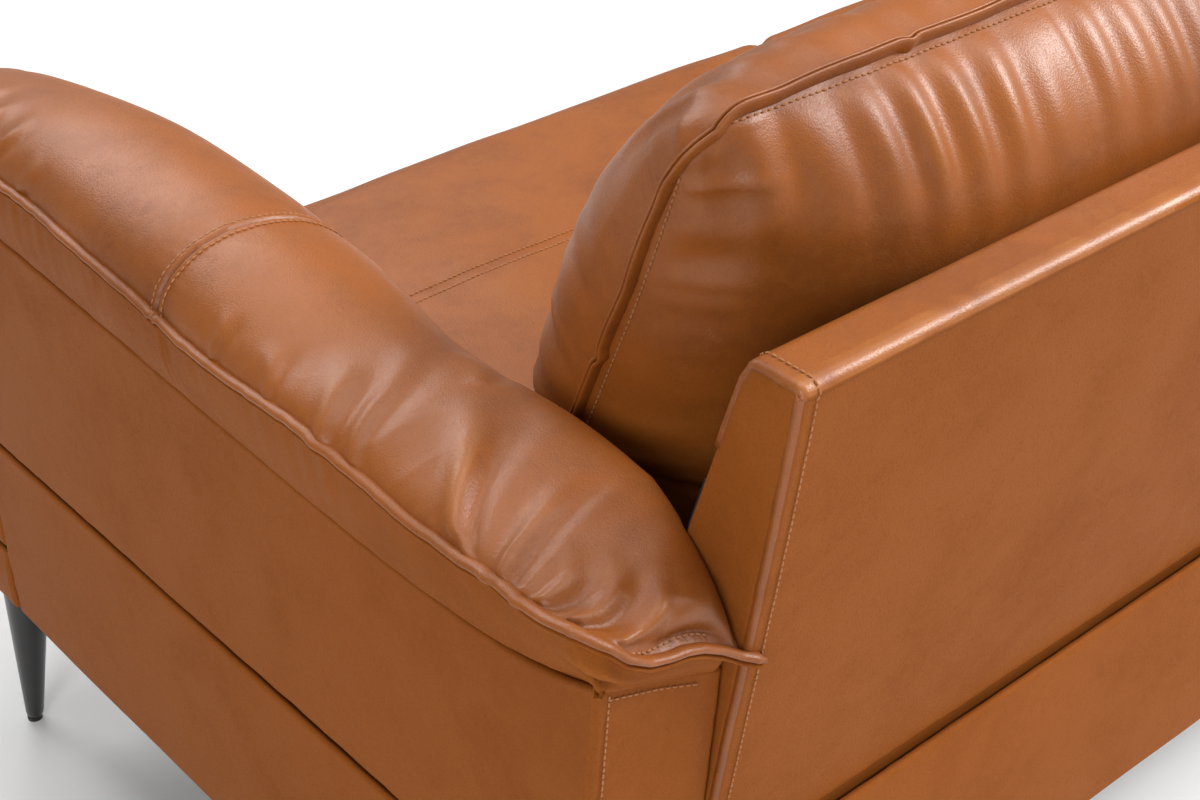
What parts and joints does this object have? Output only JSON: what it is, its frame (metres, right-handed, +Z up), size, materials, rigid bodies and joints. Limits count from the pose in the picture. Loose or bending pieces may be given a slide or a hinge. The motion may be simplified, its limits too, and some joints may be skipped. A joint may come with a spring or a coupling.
{
  "type": "sofa",
  "caption": "Low-armed leather sofa with loose seat and back cushions, pillow-topped arms that fall over the front, a raked back, and black tapered, splayed legs.",
  "frame": {"origin": "on the floor under the middle of the sofa's box", "axes": "+Z up, +X along the sofa's width, -Y the way a sitter faces"},
  "size_m": [1.888, 0.9442, 0.86],
  "materials": {
    "leather": "semi-gloss tan leather with a fine pebble grain",
    "black_wood": "black satin stain",
    "glide": "moulded nylon",
    "steel": "zinc plated",
    "hardwood": "sawn, unfinished",
    "plywood": "sanded ply, unfinished",
    "black_cloth": "woven and spun polypropylene",
    "lining": "brown lining cloth",
    "foam": "open-cell upholstery foam",
    "fibre": "fibre fill in a ticking"
  },
  "bodies": {
    "frame": {"front_rail": "hardwood", "rear_rail": "hardwood", "side_rail_left": "hardwood", "side_rail_right": "hardwood", "centre_rail": "hardwood", "spring_batten": "hardwood", "corner_blocks": "hardwood", "leg_front_left": "black_wood", "leg_front_right": "black_wood", "leg_rear_left": "black_wood", "leg_rear_right": "black_wood", "leg_plates": "steel", "leg_studs": "steel", "plate_screws": "steel", "leg_glides": "glide", "seat_springs": "steel", "spring_clips": "steel", "seat_deck": "lining", "dust_cover": "black_cloth", "front_band": "leather", "rear_band": "leather", "side_band_left": "leather", "side_band_right": "leather", "arm_posts_left": "hardwood", "arm_posts_right": "hardwood", "arm_outer_panel_left": "plywood", "arm_outer_panel_right": "plywood", "arm_inner_panel_left": "plywood", "arm_inner_panel_right": "plywood", "arm_board_left": "plywood", "arm_board_right": "plywood", "arm_cover_left": "leather", "arm_cover_right": "leather", "arm_facing_left": "leather", "arm_facing_right": "leather", "arm_pad_left": "leather", "arm_pad_right": "leather", "arm_foam_left": "foam", "arm_foam_right": "foam", "back_posts": "hardwood", "back_top_rail": "hardwood", "back_lower_rail": "hardwood", "back_panel": "plywood", "back_webbing": "black_cloth", "back_lining": "lining", "back_cover": "leather", "back_bolts": "steel", "arm_bolts": "steel"},
    "seat_left_cushion": {"seat_cushion_left": "leather", "seat_foam_left": "foam"},
    "seat_right_cushion": {"seat_cushion_right": "leather", "seat_foam_right": "foam"},
    "back_left_cushion": {"back_cushion_left": "leather", "back_fill_left": "fibre"},
    "back_right_cushion": {"back_cushion_right": "leather", "back_fill_right": "fibre"}
  },
  "joints": [
    {"name": "seat_left_slide", "type": "slide", "parent": "frame", "child": "seat_left_cushion", "axis": [0, -1, 0], "range_m": [0, 0.8]},
    {"name": "seat_right_slide", "type": "slide", "parent": "frame", "child": "seat_right_cushion", "axis": [0, -1, 0], "range_m": [0, 0.8]},
    {"name": "back_left_lift", "type": "slide", "parent": "frame", "child": "back_left_cushion", "axis": [0, 0, 1], "range_m": [0, 0.36]},
    {"name": "back_right_lift", "type": "slide", "parent": "frame", "child": "back_right_cushion", "axis": [0, 0, 1], "range_m": [0, 0.36]}
  ]
}
